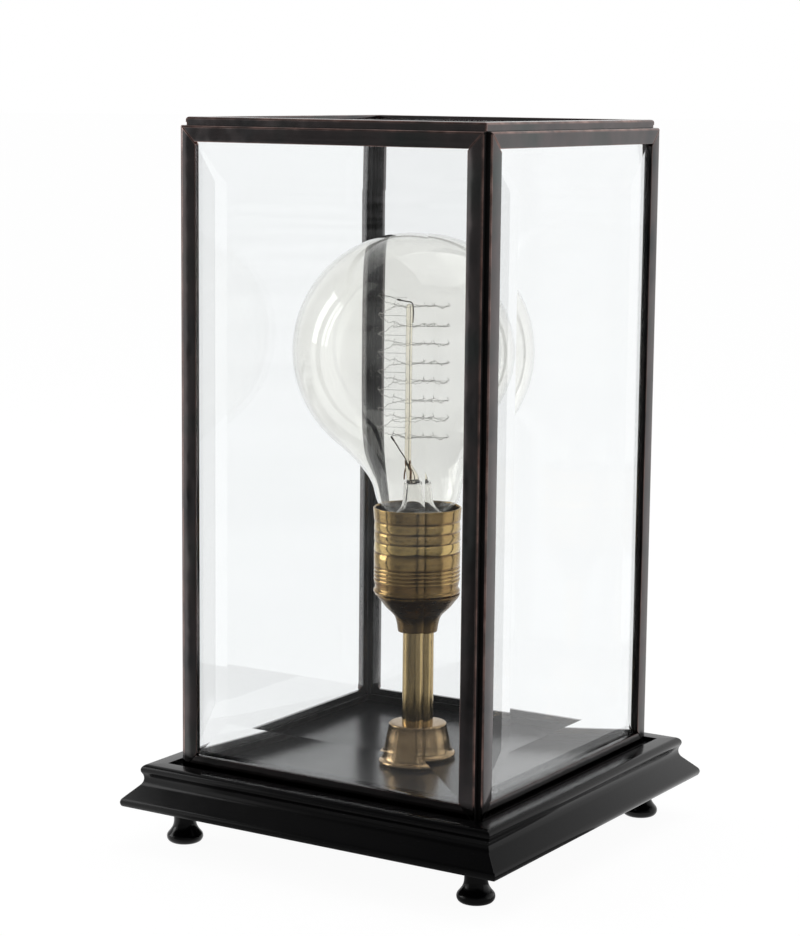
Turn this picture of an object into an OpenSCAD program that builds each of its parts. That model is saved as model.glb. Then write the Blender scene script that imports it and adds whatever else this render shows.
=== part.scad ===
// Square lantern table lamp: a glass case of five bevelled panes in mitred came frames stands
// in the well of a moulded base and lifts off over a brass lampholder with a clear globe bulb.
// Millimetres, +Z up, origin at the centre of the square that the feet stand on.

/* [Base] */
// Width of the base over its lower bead
base_w = 228.4; // [224:0.2:234]
// Height of the moulding
base_h = 22; // [21:0.5:24]
// Height of the feet
foot_h = 21; // [18:0.5:26]
// Distance of each foot from the middle, along X and along Y
foot_at = 89.6; // [86:0.2:90]
// Width of the well that the case stands in
well_w = 192; // [190:0.5:193]
// Depth of the well below the land
well_d = 2.7; // [2:0.1:3.5]

/* [Case] */
// Outer width of the glass case
case_w = 184; // [180:0.5:188]
// Height of a side panel
panel_h = 337; // [300:1:360]
// Square notch left open along each vertical corner
corner_gap = 2.8; // [2:0.1:3.5]
// Width of a came bar
came_w = 8.3; // [7.5:0.1:10]
// Depth of a came bar, from its outer to its inner face
came_t = 8; // [7.6:0.1:9]
// How far the top panel stands in from the sides
top_inset = 3.4; // [3:0.1:4]
// How far the top panel stands above the side panels
top_rise = 4.3; // [4:0.1:5]

/* [Glass] */
// Thickness of a pane
glass_t = 5; // [4.5:0.1:5]
// Thickness of a pane at the edge of its bevel
glass_edge = 3.2; // [2.8:0.1:3.5]
// Width of the bevel, from the pane's edge
bevel_w = 25; // [20:0.5:30]
// Depth of the pane's face below the face of the bars
glass_set = 1.6; // [1.2:0.1:1.8]

/* [Lampholder] */
// Diameter of the stem tube
stem_d = 11.8; // [11.8:0.2:14]
// Diameter of the stem flange
flange_d = 35.6; // [34:0.2:40]
// Height of the stem flange
flange_h = 19; // [17:0.5:21]
// Height above the land of the top of the stem tube
stem_top = 67.5; // [60:0.5:75]
// How far the stem, and all that it carries, stands off the middle of the base
stem_off = 2.6; // [0:0.1:3]
// Outer diameter of the holder shell
holder_d = 41.6; // [41:0.2:43]
// Height of the holder's rim above the land
holder_top = 134; // [133:0.5:135]

/* [Bulb] */
// Diameter of the globe
globe_d = 124; // [118:0.5:126]
// Height of the globe's centre above the land
globe_at = 217.3; // [215:0.1:219]
// How far the blown glass leans from its cap, in degrees
glass_lean = 1.8; // [0:0.1:2]
// Turns of the spiral filament
turns = 7.85; // [5:0.05:7.85]
// Radius of the spiral filament
spiral_r = 16; // [14:0.2:17]
// Rise of the filament per turn
spiral_pitch = 10; // [8:0.1:10]
// Thickness of the filament
filament_d = 0.7; // [0.6:0.1:0.9]

/* [Hidden] */
$fn = 64;

// Colours
satin_black = [0.09, 0.09, 0.095];
dark_bronze = [0.13, 0.115, 0.115];
old_brass = [0.62, 0.5, 0.3];
steel = [0.66, 0.66, 0.68];
clear_glass = [0.86, 0.92, 0.93, 0.35];
white_clay = [0.9, 0.89, 0.85];
black_resin = [0.12, 0.1, 0.09];
copper = [0.75, 0.45, 0.3];

// Heights
land_z = foot_h + base_h;          // top face of the base
well_z = land_z - well_d;          // face that the case and the stem stand on
plate_t = 2;                       // floor plate
cover_t = 1.5;                     // bottom cover
case_top = well_z + panel_h;
stem_top_z = land_z + stem_top;
rim_z = land_z + holder_top;
globe_z = land_z + globe_at;
globe_r = globe_d / 2;

// Moulding: radii of the nose, cove and bead of its outline
half_base = base_w / 2;
nose_r = 3;
cove_r = 5.3;
bead_r = 3.3;
nose_x = half_base - 10.8;         // centre of the nose
cove_x = half_base - 3.8;          // centre of the cove
cove_z = -7.4;
bead_x = half_base - bead_r;
bead_z = 2 - base_h;
wall_x = 94;                       // inner face of the moulding
groove_d = 2.5;                    // how far the floor plate reaches into the moulding
cover_lap = 3;                     // how far the bottom cover reaches under the moulding

function dir(a) = [cos(a), sin(a)];
function arc(c, r, a0, a1, n) = [for (i = [0:n]) c + r * dir(a0 + (a1 - a0) * i / n)];
function bezier(p, t) = p[0] * (1 - t)^3 + p[1] * 3 * t * (1 - t)^2 + p[2] * 3 * t^2 * (1 - t)
    + p[3] * t^3;
function curve(p, n) = [for (i = [0:n]) bezier(p, i / n)];

// Turned piece from an outline of [radius, height] points that starts and ends on the axis
module turned(pts) rotate_extrude() polygon(pts);

// Puts its child on each of the four corners, turned to face outwards
module at_corners(d) for (a = [0:90:270]) rotate(a) translate([d, d, 0]) children();

// ---------------------------------------------------------------- base

// Cross section of the moulding, x outwards from the lamp's axis, y up from the land
module moulding_section() {
    join = atan2(cove_z + nose_r, cove_x - nose_x);
    under = -asin((base_h + bead_z) / bead_r);
    polygon(concat([[well_w / 2, 0]], arc([nose_x, -nose_r], nose_r, 90, join + 8, 9),
        arc([cove_x, cove_z], cove_r, 180 + join, 225, 7),
        arc([bead_x, bead_z], bead_r, 45, under, 8),
        [[wall_x + cover_lap, -base_h], [wall_x + cover_lap, cover_t - base_h],
            [wall_x, cover_t - base_h], [wall_x, -well_d - plate_t],
            [well_w / 2 + groove_d, -well_d - plate_t], [well_w / 2 + groove_d, -well_d],
            [well_w / 2, -well_d]]));
}

// One rail of the moulding along the +X side, mitred at both ends
module rail() {
    long = base_w + 2;
    intersection() {
        translate([0, long / 2, land_z]) rotate([90, 0, 0]) linear_extrude(long) moulding_section();
        linear_extrude(land_z + 1) polygon([[0, 0], [long / 2, -long / 2], [long / 2, long / 2]]);
    }
}

module base_right() color(satin_black) rail();
module base_back() color(satin_black) difference() {
    rotate(90) rail();
    grommet_hole();
}
module base_left() color(satin_black) rotate(180) rail();
module base_front() color(satin_black) rotate(270) rail();

// Cord inlet low in the middle of the back rail
grommet_r = 5;
inlet_z = foot_h + cover_t + grommet_r + 0.1;
module grommet_hole()
    translate([0, wall_x - 5, inlet_z]) rotate([-90, 0, 0]) cylinder(r = 4.2, h = 40);

module cord_grommet() color(black_resin) {
    outer_y = half_base - 0.2;
    translate([0, 0, inlet_z]) rotate([-90, 0, 0]) difference() {
        union() {
            translate([0, 0, wall_x - 3]) cylinder(r = grommet_r, h = 2.9);
            translate([0, 0, wall_x - 0.2]) cylinder(r = 4.1, h = outer_y - wall_x);
        }
        translate([0, 0, wall_x - 4]) cylinder(r = 2.6, h = 40);
    }
}

module floor_plate() color(satin_black) {
    side = well_w + 2 * groove_d - 0.2;
    difference() {
        translate([-side / 2, -side / 2, well_z - plate_t]) cube([side, side, plate_t]);
        column() translate([0, 0, well_z - plate_t - 1]) cylinder(r = nipple_r + 0.2,
            h = plate_t + 2);
    }
}

// Blocks that tie the mitres; each has the tapped hole for a foot stud
block_z = foot_h + cover_t;
block_h = well_z - plate_t - block_z;
stud_r = 2.5;
stud_h = 10;
fit_gap = 0.1;                     // clearance between pieces that are fitted together
module corner_blocks() color(satin_black) difference() {
    for (a = [0:90:270]) rotate(a) translate([0, 0, block_z]) linear_extrude(block_h)
        polygon([[wall_x, wall_x], [wall_x - 30, wall_x], [wall_x - 30, wall_x - 12],
            [wall_x - 12, wall_x - 30], [wall_x, wall_x - 30]]);
    at_corners(foot_at) translate([0, 0, block_z - 1]) cylinder(r = stud_r + fit_gap, h = stud_h + 1);
    at_screws() cylinder(r = screw_r + fit_gap, h = 10);
}

module bottom_cover() color(black_resin) {
    side = 2 * (wall_x + cover_lap) - 0.3;
    difference() {
        translate([-side / 2, -side / 2, foot_h]) cube([side, side, cover_t]);
        at_corners(foot_at) translate([0, 0, foot_h - 1]) cylinder(r = stud_r + 0.2, h = 4);
        at_screws() cylinder(r = screw_r + fit_gap, h = 4, center = true);
    }
}

// Screws of the bottom cover: two on each side, into the corner blocks
screw_r = 1.5;
screw_at = wall_x - 25;
module at_screws() for (a = [0:90:270], s = [-1, 1])
    rotate(a) translate([wall_x - 5, s * screw_at, foot_h]) children();

module cover_screws() color(steel) at_screws() {
    translate([0, 0, -1]) cylinder(r = 3, h = 1);
    translate([0, 0, -0.5]) cylinder(r = screw_r, h = 10);
}

// Turned foot: flat sole, round bead, waist, and a flared top under the moulding
function foot_outline() = concat([[0, 0], [6.4, 0]], arc([6.6, 3.1], 3.1, -75, 40, 8),
    curve([[8.98, 5.1], [6.9, 7.4], [5.9, 9], [5.9, 12.2]], 6),
    curve([[5.9, 12.2], [5.9, 15.5], [6.3, 18.2], [7.4, foot_h]], 5), [[0, foot_h]]);

module foot(sx, sy) color(satin_black) {
    translate([sx * foot_at, sy * foot_at, 0]) turned(foot_outline());
    translate([sx * foot_at, sy * foot_at, foot_h - 1]) cylinder(r = stud_r, h = stud_h + 1);
}
module foot_front_left() foot(-1, -1);
module foot_front_right() foot(1, -1);
module foot_back_right() foot(1, 1);
module foot_back_left() foot(-1, 1);

module terminal_block() color(white_clay) column() {
    block = [26, 16, 12];
    translate([-block[0] / 2, block_y, well_z - plate_t - block[2]]) difference() {
        cube(block);
        for (x = [7, 19]) translate([x, -1, 5]) rotate([-90, 0, 0]) cylinder(r = 2, h = 18);
        for (x = [7, 19]) translate([x, 8, -1]) cylinder(r = 2.2, h = 4);
    }
}

// ---------------------------------------------------------------- stem

lean_dir = [-0.852, -0.523, 0];    // direction in which the stem is off the middle
module column() translate(stem_off * lean_dir) children();

nipple_r = 4.8;
nipple_bore = 3.8;
nut_h = 5;
nut_z = well_z - plate_t - 1 - nut_h;
cap_floor = stem_top_z + 4.5;      // face inside the holder cap that the nipple holds

module stem_flange() color(old_brass) column() translate([0, 0, well_z]) difference() {
    r = flange_d / 2;
    turned(concat([[0, 0], [r - 1, 0]], arc([r - 1.6, 1.9], 1.6, -50, 80, 7),
        curve([[r - 1.9, 4], [r - 4, 8], [13, 12.5], [12.4, flange_h - 1]], 8),
        [[11.6, flange_h], [0, flange_h]]));
    translate([0, 0, -1]) cylinder(r = nipple_r + 0.1, h = flange_h + 2);
    translate([0, 0, flange_h - 3]) cylinder(r = stem_d / 2 + 0.05, h = 4);
}

module stem_tube() color(old_brass) column() difference() {
    bottom = well_z + flange_h - 3;
    translate([0, 0, bottom]) cylinder(d = stem_d, h = stem_top_z - bottom);
    translate([0, 0, bottom - 1]) cylinder(r = nipple_r + fit_gap, h = stem_top_z - bottom + 2);
}

module nipple() color(steel) column() difference() {
    bottom = nut_z - 3;
    translate([0, 0, bottom]) cylinder(r = nipple_r, h = cap_floor + 6 - bottom);
    translate([0, 0, bottom - 1]) cylinder(r = nipple_bore, h = 200);
}

module lock_nut() color(steel) column() difference() {
    translate([0, 0, nut_z]) cylinder(r = 9.5, h = nut_h, $fn = 6);
    translate([0, 0, nut_z - 1]) cylinder(r = nipple_r + fit_gap, h = nut_h + 2);
}

module lock_washer() color(steel) column() difference() {
    translate([0, 0, nut_z + nut_h]) cylinder(r = 11, h = 1);
    translate([0, 0, nut_z + nut_h - 1]) cylinder(r = nipple_r + 0.3, h = 3);
}

// Tube of round section along a route of points
module tube_along(route, r, sides) {
    n = len(route);
    function forward(i) = let (v = route[min(i + 1, n - 1)] - route[max(i - 1, 0)]) v / norm(v);
    function across(v) = let (w = abs(v[2]) > 0.9 ? cross(v, [0, 1, 0]) : cross(v, [0, 0, 1]))
        w / norm(w);
    rings = [for (i = [0:n - 1]) let (f = forward(i), u = across(f), w = cross(f, u))
        for (k = [0:sides - 1]) route[i] + r * (u * cos(360 * k / sides) + w * sin(360 * k / sides))];
    last = (n - 1) * sides;
    walls = [for (i = [0:n - 2], k = [0:sides - 1])
        let (a = i * sides + k, b = i * sides + (k + 1) % sides)
        for (f = [[a, a + sides, b], [b, a + sides, b + sides]]) f];
    caps = concat([for (k = [1:sides - 2]) [0, k, k + 1]],
        [for (k = [1:sides - 2]) [last, last + k + 1, last + k]]);
    polyhedron(rings, concat(walls, caps));
}

// Two insulated leads from the terminal block up through the nipple to the insert
lead_r = 1.4;
block_y = 34;
lead_low = nut_z - 6.5;
module inner_leads() color(copper) column() for (s = [-1, 1])
    tube_along([[s * 6, block_y, well_z - 9], [s * 6, 28, well_z - 9.2], [s * 4.5, 18, lead_low + 1],
        [s * 2.6, 8, lead_low - 0.6], [s * 1.9, 2.5, lead_low], [s * 1.75, 0.3, lead_low + 2.8],
        [s * 1.75, 0, lead_low + 7], [s * 1.75, 0, cap_floor + 8], [s * 3, 0, cap_floor + 11],
        [s * 6, 0, insert_z - 2.5], [s * 6, 0, insert_z - 0.1]], lead_r, 8);

// ---------------------------------------------------------------- lampholder

holder_r = holder_d / 2;
shell_z = land_z + 86.2;           // joint between the domed cap and the shell
shell_wall = 0.9;
insert_z = shell_z + 3;
thread_r = 13.6;                   // bore of the screw shell

// Domed cap: waist at the stem, then a swelling bell up to the shell
module holder_cap() color(old_brass) column() difference() {
    turned(concat([[0, stem_top_z - 1], [7.4, stem_top_z - 1]],
        curve([[7.4, stem_top_z - 1], [8, stem_top_z + 1], [8, stem_top_z + 4],
            [9.2, stem_top_z + 7]], 5),
        curve([[9.2, stem_top_z + 7], [10.2, stem_top_z + 9.4], [13.8, stem_top_z + 11.4],
            [16, stem_top_z + 14.4]], 5),
        curve([[16, stem_top_z + 14.4], [17.6, stem_top_z + 16.6], [19.4, shell_z - 1.6],
            [19.9, shell_z]], 4), [[0, shell_z]]));
    translate([0, 0, stem_top_z - 2]) cylinder(d = stem_d + 0.1, h = 2);
    translate([0, 0, stem_top_z - 2]) cylinder(r = nipple_r + fit_gap, h = 8);
    turned([[0, cap_floor], [6.6, cap_floor], [8, cap_floor + 3], [11.8, cap_floor + 7],
        [15.4, cap_floor + 11], [18.6, shell_z + 1], [0, shell_z + 1]]);
}

// Beaded shell with a wider collar at the rim, four turned lines, four ribs and a lower bead
ring_lines = [108.8, 114.2, 119.6, 124.8];
rib_lines = [89.9, 92.5, 95.3, 98.5];
module holder_shell() color(old_brass) column() difference() {
    collar_z = land_z + ring_lines[3];
    union() {
        translate([0, 0, shell_z]) cylinder(r = holder_r, h = collar_z - shell_z);
        translate([0, 0, collar_z]) cylinder(r = holder_r + 0.5, h = rim_z - collar_z);
    }
    translate([0, 0, shell_z - 1]) cylinder(r = holder_r - shell_wall, h = holder_top);
    for (h = ring_lines) line_at(land_z + h, 0.45);
    for (h = rib_lines) line_at(land_z + h, 0.6);
}
module line_at(z, r) rotate_extrude() translate([holder_r + 0.1, z]) circle(r, $fn = 16);

module holder_liner() color(black_resin) column() difference() {
    translate([0, 0, insert_z]) cylinder(r = holder_r - shell_wall - fit_gap, h = 41);
    translate([0, 0, insert_z - 1]) cylinder(r = holder_r - shell_wall - 0.8, h = 43);
}

module holder_insert() color(white_clay) column() difference() {
    translate([0, 0, insert_z]) cylinder(r = holder_r - shell_wall - 0.9, h = 10);
    for (s = [-1, 1]) translate([s * 6, 0, insert_z - 1]) cylinder(r = 2, h = 6);
}

module screw_shell() color(old_brass) column() difference() {
    translate([0, 0, insert_z + 10]) cylinder(r = thread_r + 0.7, h = 26);
    translate([0, 0, insert_z + 11]) cylinder(r = thread_r, h = 26);
    translate([0, 0, insert_z + 9]) cylinder(r = 6, h = 3);
}

// Centre contact: a bent tongue on the floor of the insert
contact_top = insert_z + 15;
module holder_contact() color(old_brass) column() translate([0, 2.5, 0]) rotate([90, 0, 0])
    linear_extrude(5) polygon([[-5.4, insert_z + 10], [5.4, insert_z + 10],
        [5.4, insert_z + 10.8], [-3.6, insert_z + 10.8], [3.6, contact_top - 0.8],
        [3.6, contact_top], [-5.4, insert_z + 11.2]]);

// ---------------------------------------------------------------- bulb

tip_z = contact_top + 0.3;
cap_z = tip_z + 3;
cap_top = cap_z + 22;
cap_r = 13.2;
rim_gap = 0.9;                     // the cap ends this far below the glass's own lower edge
glass_wall = 0.9;

// The blown glass and what it carries lean that way too, about the top of the cap
module leaning() translate([0, 0, cap_top])
    rotate(a = glass_lean, v = cross([0, 0, 1], lean_dir)) translate([0, 0, -cap_top]) children();

// Outline of the envelope's outer face, from the neck's lower edge to the pole
globe_low = -47;                   // angle at which the globe turns into the neck
neck_r = 12;
function globe_pt(a, r) = [0, globe_z] + r * dir(a);
function globe_outline(off) = let (r = globe_r - off, low = globe_pt(globe_low, r),
    t = dir(globe_low - 90))
    concat(curve([[neck_r - off, cap_top], [18.6 - off, cap_top + 4], [19.5 - off, cap_top + 8],
            [20.6 - off, land_z + 143]], 5),
        curve([[20.6 - off, land_z + 143], [21.8 - off, land_z + 153], low + 11 * t, low], 8),
        arc([0, globe_z], r, globe_low + 5, 90, 24));

module bulb_glass() color(clear_glass) column() leaning() difference() {
    turned(concat([[0, cap_top]], globe_outline(0)));
    turned(concat([[0, cap_top + glass_wall]], [for (p = globe_outline(glass_wall))
        [max(p[0], 0), max(p[1], cap_top + glass_wall)]]));
}

module bulb_cap() color(old_brass) column() difference() {
    translate([0, 0, cap_z]) cylinder(r = cap_r, h = cap_top - rim_gap - cap_z);
    translate([0, 0, cap_z + 0.8]) cylinder(r = cap_r - 0.7, h = cap_top - cap_z);
    translate([0, 0, cap_z - 1]) cylinder(r = 9, h = 3);
}

module bulb_insulator() color(black_resin) column() turned([[4.5, cap_z - 2], [8.9, cap_z],
    [8.9, cap_z + 1.5], [4.5, cap_z + 1.5]]);

module bulb_contact() color(steel) column() turned([[0, tip_z], [3, tip_z + 0.3], [4.4, tip_z + 1],
    [4.4, cap_z + 1], [0, cap_z + 1]]);

// Mount glass: flare tube inside the neck, flat pinch, and the rod that carries the spiral
rod_at = 3.4 * lean_dir;           // the rod stands this far off the cap's axis
rod_r = 1.5;
pinch_z = land_z + 149;
rod_low = land_z + 159;
rod_top = land_z + 242;
flare_z = cap_top + glass_wall;
module bulb_mount() color(clear_glass) column() {
    leaning() difference() {
        turned([[0, flare_z], [11, flare_z], [7, flare_z + 4], [5.6, flare_z + 9],
            [5, pinch_z - 2], [3.6, pinch_z], [0, pinch_z]]);
        turned([[0, flare_z - 1], [10, flare_z - 1], [6, flare_z + 4], [4.7, flare_z + 9],
            [4.1, pinch_z - 3], [0, pinch_z - 1.5]]);
    }
    hull() {
        leaning() translate([0, 0, pinch_z - 1]) cylinder(r = 3.4, h = 0.5, $fn = 32);
        translate(rod_at + [0, 0, rod_low - 3]) cylinder(r = rod_r, h = 3, $fn = 32);
    }
    translate(rod_at + [0, 0, rod_low - 2]) cylinder(r = rod_r, h = rod_top - rod_low + 2);
}

spiral_low = land_z + 166.8;
spiral_start = -93;                // bearing of the spiral's lower end
per_turn = 24;
function spiral_pt(i) = let (a = spiral_start + 360 * i / per_turn)
    rod_at + [spiral_r * cos(a), spiral_r * sin(a), spiral_low + spiral_pitch * i / per_turn];
spiral_route = [for (i = [0:turns * per_turn]) spiral_pt(i)];
echo(filament_gap = spiral_pitch - filament_d);
module bulb_filament() color(copper) column() tube_along(spiral_route, filament_d / 2, 6);

// Hooks that hold each turn off the rod, from the rod's wall to the inside of the spiral
hook_r = 0.25;
hook_steps = [3, 15];              // steps along each turn at which it is held
module wire(a, b, r) tube_along([a, b], r, 6);
module hook(p) {
    flat = [p[0] - rod_at[0], p[1] - rod_at[1], 0];
    out = flat / norm(flat);
    wire(rod_at + [0, 0, p[2] - 1] + (rod_r - 0.03) * out, p - (filament_d / 2 + 0.02) * out,
        hook_r);
}
module bulb_supports() color(steel) column() for (i = [0:floor(turns) - 1], k = hook_steps)
    hook(spiral_pt(i * per_turn + k));

// Lead wires: one pair stands in the flare, one pair runs from the pinch to the spiral's ends
lead_wire_r = 0.35;
module bulb_leads() color(steel) column() {
    low = spiral_route[0];
    high = spiral_route[len(spiral_route) - 1];
    beside = rod_at - (rod_r + lead_wire_r - 0.02) * lean_dir;
    for (s = [-1, 1]) leaning() wire([s * 3.6, 0, flare_z + 2.5], [s * 2.4, 0, pinch_z - 3.4],
        lead_wire_r);
    tube_along([rod_at + [-0.82, -1.62, rod_low - 0.5], rod_at + [-1.4, -3.4, rod_low + 1.5],
        low - [0, 0, filament_d / 2 + 0.3]], lead_wire_r, 6);
    tube_along([beside + [0, 0, rod_top - 9], beside + [0, 0, rod_top + 0.3],
        rod_at + [0, 0, rod_top + 1.4], rod_at + 6 * lean_dir + [0, 0, rod_top + 2],
        high - [0, 0, filament_d / 2 + 0.3]], lead_wire_r, 6);
}

// ---------------------------------------------------------------- case

panel_w = case_w - 2 * corner_gap;
face_r = 1.5;                      // rounding of the outer edge of a bar
slot_d = 4.1;                      // how deep a pane sits in its bars
glass_play = 0.1;
glass_back = glass_set + glass_t;
drop = glass_t - glass_edge;       // how far the bevel falls over its width

// Section of a bar, x from the panel's outer edge inwards, y from its face into the case: a
// rounded blank with the slot for the pane
module bar_blank() difference() {
    union() {
        translate([face_r, 0]) square([came_w - face_r - 0.8, came_t]);
        translate([0, face_r]) square([came_w, came_t - face_r]);
        translate([face_r, face_r]) circle(face_r);
        translate([came_w - 0.8, 0.8]) circle(0.8);
        translate([came_w - 1.2, 0.8]) square([1.2, 1]);
    }
    translate([came_w - slot_d, glass_set + drop - 0.4])
        square([slot_d + 1, glass_back + glass_play - glass_set - drop + 0.4]);
}

// Bar of a side panel, cut at 45 degrees behind the corner notch
module came_section() difference() {
    bar_blank();
    polygon([[-1, corner_gap], [0, corner_gap], [came_t - corner_gap, came_t],
        [came_t - corner_gap, came_t + 1], [-1, came_t + 1]]);
}

// Bar of the top panel: its lower part steps in and seats on the side panels
seat = top_inset - corner_gap + top_rise;
module top_section() difference() {
    bar_blank();
    polygon([[-1, 2.8], [1.5, 2.8], [1.5, seat + 1.5], [came_t - seat, came_t],
        [came_t - seat, came_t + 1], [-1, came_t + 1]]);
}

// A bar of length long, lying along X with its outer edge on Y = 0, face up at Z = 0, mitred
module bar(long) intersection() {
    rotate([90, 0, 90]) linear_extrude(long) mirror([0, 1]) children();
    translate([0, 0, -came_t]) linear_extrude(came_t) polygon([[0, 0], [long, 0],
        [long - came_w, came_w], [came_w, came_w]]);
}

// The four bars of a panel w wide and h high, its centre at the origin and its face up
module bar_low(w, h) translate([-w / 2, -h / 2, 0]) bar(w) children();
module bar_high(w, h) rotate(180) bar_low(w, h) children();
module bar_start(w, h) rotate(-90) bar_low(h, w) children();
module bar_end(w, h) rotate(90) bar_low(h, w) children();

// A pane for that panel: flat back, four bevels on its face
module pane(w, h) {
    a = w - 2 * (came_w - slot_d) - 2 * glass_play;
    b = h - 2 * (came_w - slot_d) - 2 * glass_play;
    intersection() {
        translate([0, b / 2, -glass_set]) rotate([90, 0, 0]) linear_extrude(b) pane_section(a);
        translate([-a / 2, 0, -glass_set]) rotate([90, 0, 90]) linear_extrude(a) pane_section(b);
    }
}
module pane_section(a) polygon([[-a / 2, -glass_t], [a / 2, -glass_t], [a / 2, -drop],
    [a / 2 - bevel_w, 0], [bevel_w - a / 2, 0], [-a / 2, -drop]]);

// Stands a panel up on the side that faces a (0 front, 90 right, 180 back, 270 left)
module stand(a) rotate(a) translate([0, -case_w / 2, well_z + panel_h / 2]) rotate([90, 0, 0])
    children();
// Lays the top panel in its place
top_w = case_w - 2 * top_inset;
module lay() translate([0, 0, case_top + top_rise]) children();

module side_glass(a) color(clear_glass) stand(a) pane(panel_w, panel_h);
module side_top(a) color(dark_bronze) stand(a) bar_high(panel_w, panel_h) came_section();
module side_bottom(a) color(dark_bronze) stand(a) bar_low(panel_w, panel_h) came_section();
module side_left(a) color(dark_bronze) stand(a) bar_start(panel_w, panel_h) came_section();
module side_right(a) color(dark_bronze) stand(a) bar_end(panel_w, panel_h) came_section();

module front_glass() side_glass(0);
module front_top_bar() side_top(0);
module front_bottom_bar() side_bottom(0);
module front_left_bar() side_left(0);
module front_right_bar() side_right(0);
module right_glass() side_glass(90);
module right_top_bar() side_top(90);
module right_bottom_bar() side_bottom(90);
module right_left_bar() side_left(90);
module right_right_bar() side_right(90);
module back_glass() side_glass(180);
module back_top_bar() side_top(180);
module back_bottom_bar() side_bottom(180);
module back_left_bar() side_left(180);
module back_right_bar() side_right(180);
module left_glass() side_glass(270);
module left_top_bar() side_top(270);
module left_bottom_bar() side_bottom(270);
module left_left_bar() side_left(270);
module left_right_bar() side_right(270);
module top_glass() color(clear_glass) lay() pane(top_w, top_w);
module top_front_bar() color(dark_bronze) lay() bar_low(top_w, top_w) top_section();
module top_back_bar() color(dark_bronze) lay() bar_high(top_w, top_w) top_section();
module top_left_bar() color(dark_bronze) lay() bar_start(top_w, top_w) top_section();
module top_right_bar() color(dark_bronze) lay() bar_end(top_w, top_w) top_section();

base_front();
base_right();
base_back();
base_left();
floor_plate();
corner_blocks();
bottom_cover();
cover_screws();
foot_front_left();
foot_front_right();
foot_back_right();
foot_back_left();
cord_grommet();
terminal_block();
inner_leads();
stem_flange();
stem_tube();
nipple();
lock_nut();
lock_washer();
holder_cap();
holder_shell();
holder_liner();
holder_insert();
screw_shell();
holder_contact();
bulb_glass();
bulb_cap();
bulb_insulator();
bulb_contact();
bulb_mount();
bulb_filament();
bulb_supports();
bulb_leads();
front_glass();
front_top_bar();
front_bottom_bar();
front_left_bar();
front_right_bar();
right_glass();
right_top_bar();
right_bottom_bar();
right_left_bar();
right_right_bar();
back_glass();
back_top_bar();
back_bottom_bar();
back_left_bar();
back_right_bar();
left_glass();
left_top_bar();
left_bottom_bar();
left_left_bar();
left_right_bar();
top_glass();
top_front_bar();
top_right_bar();
top_back_bar();
top_left_bar();
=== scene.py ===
"""Square lantern table lamp: a bevelled glass case in dark came frames stands on a moulded black
base, over a brass lampholder with a clear globe bulb. Shapes are made in millimetres."""

from math import atan2, cos, hypot, pi, radians, sin

import bmesh
import bpy
from mathutils import Matrix, Vector


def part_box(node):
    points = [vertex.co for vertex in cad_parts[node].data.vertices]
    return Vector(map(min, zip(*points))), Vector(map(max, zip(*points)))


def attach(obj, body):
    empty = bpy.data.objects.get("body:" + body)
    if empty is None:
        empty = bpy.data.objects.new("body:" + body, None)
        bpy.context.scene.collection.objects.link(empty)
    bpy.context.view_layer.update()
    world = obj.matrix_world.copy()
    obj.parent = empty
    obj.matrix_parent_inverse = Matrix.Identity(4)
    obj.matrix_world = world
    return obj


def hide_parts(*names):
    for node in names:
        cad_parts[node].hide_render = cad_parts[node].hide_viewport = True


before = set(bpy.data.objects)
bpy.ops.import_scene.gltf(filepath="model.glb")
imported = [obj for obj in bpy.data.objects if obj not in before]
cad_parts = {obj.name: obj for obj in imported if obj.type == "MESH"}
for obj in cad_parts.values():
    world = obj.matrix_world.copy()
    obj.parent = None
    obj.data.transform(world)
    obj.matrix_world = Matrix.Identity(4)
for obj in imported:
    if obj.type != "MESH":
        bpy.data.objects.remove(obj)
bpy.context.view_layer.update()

# ------------------------------------------------------------------ sizes, from the CAD nodes


def span(node):
    """A CAD node's lowest and highest corner, in millimetres."""
    return [corner * 1000 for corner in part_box(node)]


half_base, _, land_z = span("base_right")[1]
under_z = span("base_right")[0].z
well_z = span("floor_plate")[1].z
front_face = span("front_top_bar")[0].y
panel_low, panel_high = span("front_left_bar")[0], span("front_right_bar")[1]
panel_w, panel_h = panel_high.x - panel_low.x, panel_high.z - panel_low.z
case_top = panel_high.z
lid_low, lid_high = span("top_front_bar")
lid_w, lid_z = lid_high.x - lid_low.x, lid_high.z
came_w = span("front_top_bar")[1].z - span("front_top_bar")[0].z
came_t = span("front_top_bar")[1].y - front_face
corner_gap = -front_face - panel_high.x
foot_at = (span("foot_front_right")[0].x + span("foot_front_right")[1].x) / 2
stem_low, stem_high = span("stem_tube")
column_at = (stem_low + stem_high) / 2       # the stem is a little off the middle
column_at.z = 0
stem_r = (stem_high.x - stem_low.x) / 2
flange_low, flange_high = span("stem_flange")
flange_r = (flange_high.x - flange_low.x) / 2
shell_low, shell_high = span("holder_shell")
collar_r = (shell_high.x - shell_low.x) / 2
cap_low, cap_high = span("bulb_cap")
glass_low, glass_high = span("bulb_glass")
globe_r = (glass_high.x - glass_low.x) / 2
globe_at = (glass_low + glass_high) / 2
globe_at.z = glass_high.z - globe_r
seat_z = cap_high.z + 0.9                    # lower edge of the blown glass
mount_top = span("bulb_mount")[1].z
spiral_low, spiral_high = span("bulb_filament")

# The way in which the column stands crooked, and how far its pieces do so.
TOWARDS_RIGHT = Vector((0.852, 0.523, 0))
STEM_BESIDE, DOME_BESIDE, SHELL_BESIDE = 0.8, 0.3, -0.6
THREAD_PITCH, THREAD_DEPTH = 3.63, 1.0

# ------------------------------------------------------------------ camera and studio


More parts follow.
